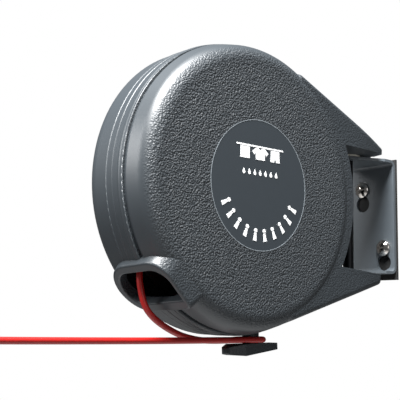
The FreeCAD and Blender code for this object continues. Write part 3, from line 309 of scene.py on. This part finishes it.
# from inside the mouth, over the lip, behind the neck, round it and away, from the drum's middle
lineRoute = [
    (-71.0, 1.2, -50.0), (-72.103, 1.016, -59.5), (-70.9, 0.0, -69.6), (-68.9, -1.5, -78.6),
    (-62.8, -2.0, -84.9), (-54.5, -1.6, -89.6), (-44.0, 0.2, -93.6), (-34.0, 2.2, -96.2),
    (-18.5, 4.8, -98.5), (2.0, 6.9, -98.7), (15.5, 7.9, -97.7), (28.4, 7.9, -97.5),
    (28.4, -7.9, -97.5), (11.0, -7.9, -97.7), (-16.0, -7.6, -98.0), (-60.0, -7.8, -98.3),
    (-112.0, -8.2, -98.3), (-155.0, -8.3, -98.2), (-196.0, -8.4, -98.0),
]


def makeLine():
    # one smooth curve along the route, as thick as the line
    curve = bpy.data.curves.new("redLine", "CURVE")
    curve.dimensions = "3D"
    curve.bevel_depth = line["width"] / 2
    curve.bevel_resolution = line["roundness"]
    curve.use_fill_caps = True
    curve.resolution_u = line["steps"]
    spline = curve.splines.new("NURBS")
    spline.points.add(len(lineRoute) - 1)
    for point, place in zip(spline.points, lineRoute):
        point.co = (*(drumAxis + Vector(place) * mm), 1)
    spline.order_u = 3
    spline.use_endpoint_u = True
    made = bpy.data.objects.new("redLine", curve)
    putInScene(made)
    curve.materials.append(linePvc)
    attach(made, "housing")
    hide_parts("free_line")


makeLine()
print("free line")


# the label's front, level with the case's, and how far the ink stands out, in mm
label = {"face": -29.0, "ink": 0.15}


def flatPiece(name, outlines, material, stand):
    # flat marks that stand out from the label; each outline is a list of (x, z) in mm
    low = label["face"]
    high = low - stand
    shape = bmesh.new()
    for corners in outlines:
        back = [shape.verts.new(drumAxis + Vector((x, low, z)) * mm) for x, z in corners]
        front = [shape.verts.new(drumAxis + Vector((x, high, z)) * mm) for x, z in corners]
        shape.faces.new(front)
        shape.faces.new(list(reversed(back)))
        for one in range(len(corners)):
            two = (one + 1) % len(corners)
            shape.faces.new((front[one], back[one], back[two], front[two]))
    bmesh.ops.recalc_face_normals(shape, faces=shape.faces)
    mesh = bpy.data.meshes.new(name)
    shape.to_mesh(mesh)
    shape.free()
    made = bpy.data.objects.new(name, mesh)
    putInScene(made)
    mesh.materials.append(material)
    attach(made, "housing")


washing = {"width": 42.0, "height": 24.5, "line": 1.1, "drop": 8.4, "hang": 0.9, "endSteps": 6}


def makeWashing():
    # a drawn line with round ends, and a towel, a shirt and a pair of trousers hung on it
    d = washing
    low = d["height"] - d["drop"]
    top = d["height"] - d["hang"]
    drawnLine = []
    for end, start in ((1, -90), (-1, 90)):
        for step in range(d["endSteps"] + 1):
            angle = math.radians(start + 180 * step / d["endSteps"])
            drawnLine.append((end * (d["width"] - d["line"]) / 2 + math.cos(angle) * d["line"] / 2,
                              d["height"] + math.sin(angle) * d["line"] / 2))
    towel = [(-17.5, top), (-17.5, low), (-9.5, low), (-9.5, top)]
    shirt = [(-4.0, top), (-7.2, top - 2.6), (-5.6, top - 4.4), (-4.0, top - 3.4), (-4.0, low),
             (4.0, low), (4.0, top - 3.4), (5.6, top - 4.4), (7.2, top - 2.6), (4.0, top),
             (1.6, top), (0.0, top - 1.2), (-1.6, top)]
    trousers = [(9.6, top), (9.2, low), (12.6, low), (13.4, top - 3.6), (14.2, low), (17.6, low),
                (17.2, top)]
    flatPiece("washingMark", [drawnLine, towel, shirt, trousers], labelInk, label["ink"])


drops = {"count": 7, "pitch": 4.8, "height": 7.0, "radius": 1.15, "tail": 2.6,
         "first": 150.0, "last": 390.0, "steps": 10}


def makeDrops():
    # a row of water drops under the washing: each is a point over an open arc
    d = drops
    shapes = []
    for index in range(d["count"]):
        x = (index - (d["count"] - 1) / 2) * d["pitch"]
        corners = [(x, d["height"] + d["tail"])]
        for step in range(d["steps"] + 1):
            angle = math.radians(d["first"] + (d["last"] - d["first"]) * step / d["steps"])
            corners.append((x + d["radius"] * math.cos(angle),
                            d["height"] + d["radius"] * math.sin(angle)))
        shapes.append(corners)
    flatPiece("dropMarks", shapes, labelInk, label["ink"])


pegs = {"count": 10, "first": 204.0, "last": 336.0, "ring": 33.2, "length": 5.8, "neck": 0.8,
        "foot": 1.5, "head": 1.4, "headShift": 0.6, "headSides": 16}


def makePegs():
    # round-headed clothes pegs standing on an arc round the lower half
    d = pegs
    outline = ((-0.5, -d["neck"]), (0.5, -d["foot"]), (0.5, d["foot"]), (-0.5, d["neck"]))
    shapes = []
    for index in range(d["count"]):
        angle = math.radians(d["first"] + (d["last"] - d["first"]) * index / (d["count"] - 1))
        outX, outZ = math.cos(angle), math.sin(angle)
        body = []
        for along, across in outline:
            reach = d["ring"] + along * d["length"]
            body.append((reach * outX - across * outZ, reach * outZ + across * outX))
        shapes.append(body)
        reach = d["ring"] - d["length"] / 2 - d["headShift"] * d["head"]
        head = []
        for step in range(d["headSides"]):
            turn = 2 * math.pi * step / d["headSides"]
            head.append((reach * outX + d["head"] * math.cos(turn),
                         reach * outZ + d["head"] * math.sin(turn)))
        shapes.append(head)
    flatPiece("pegMarks", shapes, labelInk, label["ink"])


highlightRingSize = {"inner": 41.75, "outer": 42.2, "stand": 0.12, "steps": 120}


def makeHighlightRing():
    # painted highlight along the label's edge: a thin pale ring, as short blocks that meet end to end
    d = highlightRingSize
    shapes = []
    for step in range(d["steps"]):
        one, two = (2 * math.pi * (step + k) / d["steps"] for k in (0, 1))
        shapes.append([(d["inner"] * math.cos(one), d["inner"] * math.sin(one)),
                       (d["outer"] * math.cos(one), d["outer"] * math.sin(one)),
                       (d["outer"] * math.cos(two), d["outer"] * math.sin(two)),
                       (d["inner"] * math.cos(two), d["inner"] * math.sin(two))])
    flatPiece("labelHighlightRing", shapes, labelHighlightFinish, d["stand"])


makeWashing()
makeDrops()
makePegs()
makeHighlightRing()
print("label marks")


stage = {"floorDrop": 1.6, "floorSize": 5.0, "paper": "#fafafa", "paperRoughness": 0.9,
         "sky": "#ffffff", "skySeen": 1.0, "skyGiven": 0.12}


def makeStage():
    # a pale paper floor, and a world that looks white but gives only a low even light
    d = stage
    mesh = bpy.data.meshes.new("floor")
    half = d["floorSize"] / 2
    down = cadBox[0].z - d["floorDrop"]
    mesh.from_pydata([(-half, -half, down), (half, -half, down), (half, half, down),
                      (-half, half, down)], [], [(0, 1, 2, 3)])
    floor = bpy.data.objects.new("floor", mesh)
    putInScene(floor)
    paper = {"Roughness": d["paperRoughness"], "Base Color": linear(d["paper"])}
    mesh.materials.append(startMaterial("paperBackdrop", **paper)[0])
    world = bpy.data.worlds.new("studio")
    world.use_nodes = True
    tree = world.node_tree
    tree.nodes.clear()
    path = addNode(tree, "ShaderNodeLightPath")
    strength = addNode(tree, "ShaderNodeMapRange", {"To Min": d["skyGiven"], "To Max": d["skySeen"]},
                       {"Value": path.outputs["Is Camera Ray"]})
    glow = addNode(tree, "ShaderNodeBackground", {"Color": linear(d["sky"])},
                   {"Strength": strength.outputs[0]})
    addNode(tree, "ShaderNodeOutputWorld", {}, {"Surface": glow.outputs[0]})
    bpy.context.scene.world = world


# metres from the drum, metres across, watts
lamps = {
    "keyAbove": {"place": (-0.45, -0.22, 1.05), "size": 0.7, "power": 100},
    "frontFill": {"place": (-0.1, -1.3, 0.2), "size": 0.9, "power": 2.4},
    "leftStrip": {"place": (-1.1, 0.45, 0.5), "size": 0.6, "power": 12.5},
}


def makeLamps():
    # round area lamps aimed at the drum
    for name, d in lamps.items():
        lamp = bpy.data.lights.new(name, "AREA")
        lamp.shape = "DISK"
        lamp.size = d["size"]
        lamp.energy = d["power"]
        made = bpy.data.objects.new(name, lamp)
        putInScene(made)
        made.location = drumAxis + Vector(d["place"])
        made.rotation_mode = "QUATERNION"
        made.rotation_quaternion = (-Vector(d["place"])).to_track_quat("-Z", "Y")


makeStage()
makeLamps()
bpy.context.scene.view_settings.view_transform = "Standard"
print("stage and light")
